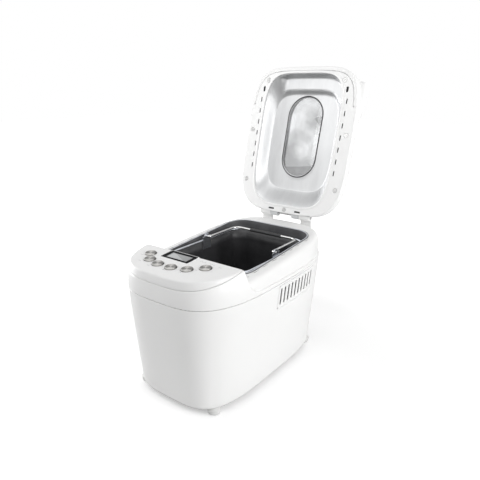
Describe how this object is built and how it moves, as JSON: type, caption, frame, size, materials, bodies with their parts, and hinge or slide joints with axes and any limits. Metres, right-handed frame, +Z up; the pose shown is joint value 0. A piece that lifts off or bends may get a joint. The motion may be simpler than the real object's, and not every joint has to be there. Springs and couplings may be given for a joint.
{
  "type": "bread machine",
  "caption": "Countertop bread machine with a rear-hinged windowed lid standing open, a lift-out pan with a kneading paddle, and a sloping front control panel.",
  "frame": {"origin": "on the floor under the middle of the object's box with its lid open", "axes": "+Z up, -Y towards the control panel at the front, +X to the right seen from the front"},
  "size_m": [0.2418, 0.4588, 0.5219],
  "materials": {
    "housing_plastic": "satin moulded",
    "panel_plastic": "gloss moulded",
    "lid_plastic": "gloss moulded",
    "frame_plastic": "satin moulded",
    "base_plastic": "fine grained",
    "foot_plastic": "satin",
    "bezel_plastic": "gloss",
    "display": "flat display with a polariser",
    "circuit_board": "solder mask",
    "button_metal": "spun in rings",
    "inlet_plastic": "moulded",
    "screw_steel": "zinc plated",
    "sheet_steel": "galvanised",
    "chamber_coating": "baked grey coating",
    "element_tube": "oxidised by heat",
    "turned_steel": "turned",
    "bush_brass": "turned, oiled",
    "nylon": "moulded",
    "belt_rubber": "ribbed",
    "motor_steel": "rolled can",
    "non_stick": "non-stick coating",
    "pan_metal": "rolled and wiped",
    "bail_wire": "drawn wire",
    "grip_plastic": "heat-proof",
    "reflector_metal": "pressed, satin",
    "gasket_rubber": "silicone",
    "window_glass": "tempered"
  },
  "bodies": {
    "machine": {"lower_housing": "housing_plastic", "base_plate": "base_plastic", "feet": "foot_plastic", "housing_screws": "screw_steel", "vent_grille_right": "housing_plastic", "vent_grille_left": "housing_plastic", "upper_frame": "housing_plastic", "panel_cover": "panel_plastic", "lcd_bezel": "bezel_plastic", "lcd_glass": "display", "control_board": "circuit_board", "board_screws": "screw_steel", "mains_inlet": "inlet_plastic", "chassis": "sheet_steel", "oven_liner": "chamber_coating", "heating_element": "element_tube", "element_supports": "sheet_steel", "thermostat_probe": "turned_steel", "pan_socket": "sheet_steel", "shaft_bush": "bush_brass", "drive_belt": "belt_rubber", "motor": "motor_steel", "power_board": "circuit_board", "hinge_pin": "turned_steel"},
    "lid": {"lid_shell": "lid_plastic", "lid_frame": "frame_plastic", "lid_reflector": "reflector_metal", "window_gasket": "gasket_rubber", "inner_window": "window_glass", "outer_window": "window_glass", "lid_screws": "screw_steel", "lid_hinge_block": "turned_steel"},
    "pan": {"bread_pan": "non_stick", "pan_rim": "pan_metal", "pan_ears": "pan_metal", "pan_base_ring": "pan_metal", "pan_bush": "bush_brass"},
    "handle": {"pan_handle": "bail_wire", "handle_grip": "grip_plastic"},
    "paddle": {"pan_spindle": "turned_steel", "pan_dog": "turned_steel", "kneading_paddle": "non_stick"},
    "drive": {"drive_shaft": "turned_steel", "drive_dog": "turned_steel", "drive_pulley": "nylon"},
    "rotor": {"motor_rotor": "turned_steel", "motor_pulley": "turned_steel", "motor_fan": "nylon"},
    "button_1": {"button_1": "button_metal"},
    "button_2": {"button_2": "button_metal"},
    "button_3": {"button_3": "button_metal"},
    "button_4": {"button_4": "button_metal"},
    "button_5": {"button_5": "button_metal"},
    "button_6": {"button_6": "button_metal"}
  },
  "joints": [
    {"name": "lid_hinge", "type": "hinge", "parent": "machine", "child": "lid", "pos_m": [0, 0.13979, 0.25127], "axis": [-1, 0, 0], "range_deg": [-107.3, 0]},
    {"name": "pan_lift", "type": "slide", "parent": "machine", "child": "pan", "axis": [0, 0, 1], "range_m": [0, 0.2]},
    {"name": "handle_swing", "type": "hinge", "parent": "pan", "child": "handle", "pos_m": [0, -0.01651, 0.2285], "axis": [1, 0, 0], "range_deg": [0, 180]},
    {"name": "drive_spin", "type": "hinge", "parent": "machine", "child": "drive", "pos_m": [0, -0.01651, 0.03], "axis": [0, 0, 1], "continuous": true},
    {"name": "motor_spin", "type": "hinge", "parent": "machine", "child": "rotor", "pos_m": [0, -0.17851, 0.06], "axis": [0, 0, 1], "continuous": true},
    {"name": "paddle_spin", "type": "hinge", "parent": "pan", "child": "paddle", "pos_m": [0, -0.01651, 0.07], "axis": [0, 0, 1], "continuous": true},
    {"name": "press_button_1", "type": "slide", "parent": "machine", "child": "button_1", "axis": [0, 0.0819, -0.9966], "range_m": [0, 0.0008], "stiffness_N_per_m": 300, "springref_m": -0.002},
    {"name": "press_button_2", "type": "slide", "parent": "machine", "child": "button_2", "axis": [0, 0.0819, -0.9966], "range_m": [0, 0.0008], "stiffness_N_per_m": 300, "springref_m": -0.002},
    {"name": "press_button_3", "type": "slide", "parent": "machine", "child": "button_3", "axis": [0, 0.0819, -0.9966], "range_m": [0, 0.0008], "stiffness_N_per_m": 300, "springref_m": -0.002},
    {"name": "press_button_4", "type": "slide", "parent": "machine", "child": "button_4", "axis": [0, 0.0819, -0.9966], "range_m": [0, 0.0008], "stiffness_N_per_m": 300, "springref_m": -0.002},
    {"name": "press_button_5", "type": "slide", "parent": "machine", "child": "button_5", "axis": [0, 0.0819, -0.9966], "range_m": [0, 0.0008], "stiffness_N_per_m": 300, "springref_m": -0.002},
    {"name": "press_button_6", "type": "slide", "parent": "machine", "child": "button_6", "axis": [0, 0.0819, -0.9966], "range_m": [0, 0.0008], "stiffness_N_per_m": 300, "springref_m": -0.002}
  ],
  "couplings": [
    {"joint": "motor_spin", "follows": "drive_spin", "ratio": 5},
    {"joint": "paddle_spin", "follows": "drive_spin", "ratio": 1}
  ]
}
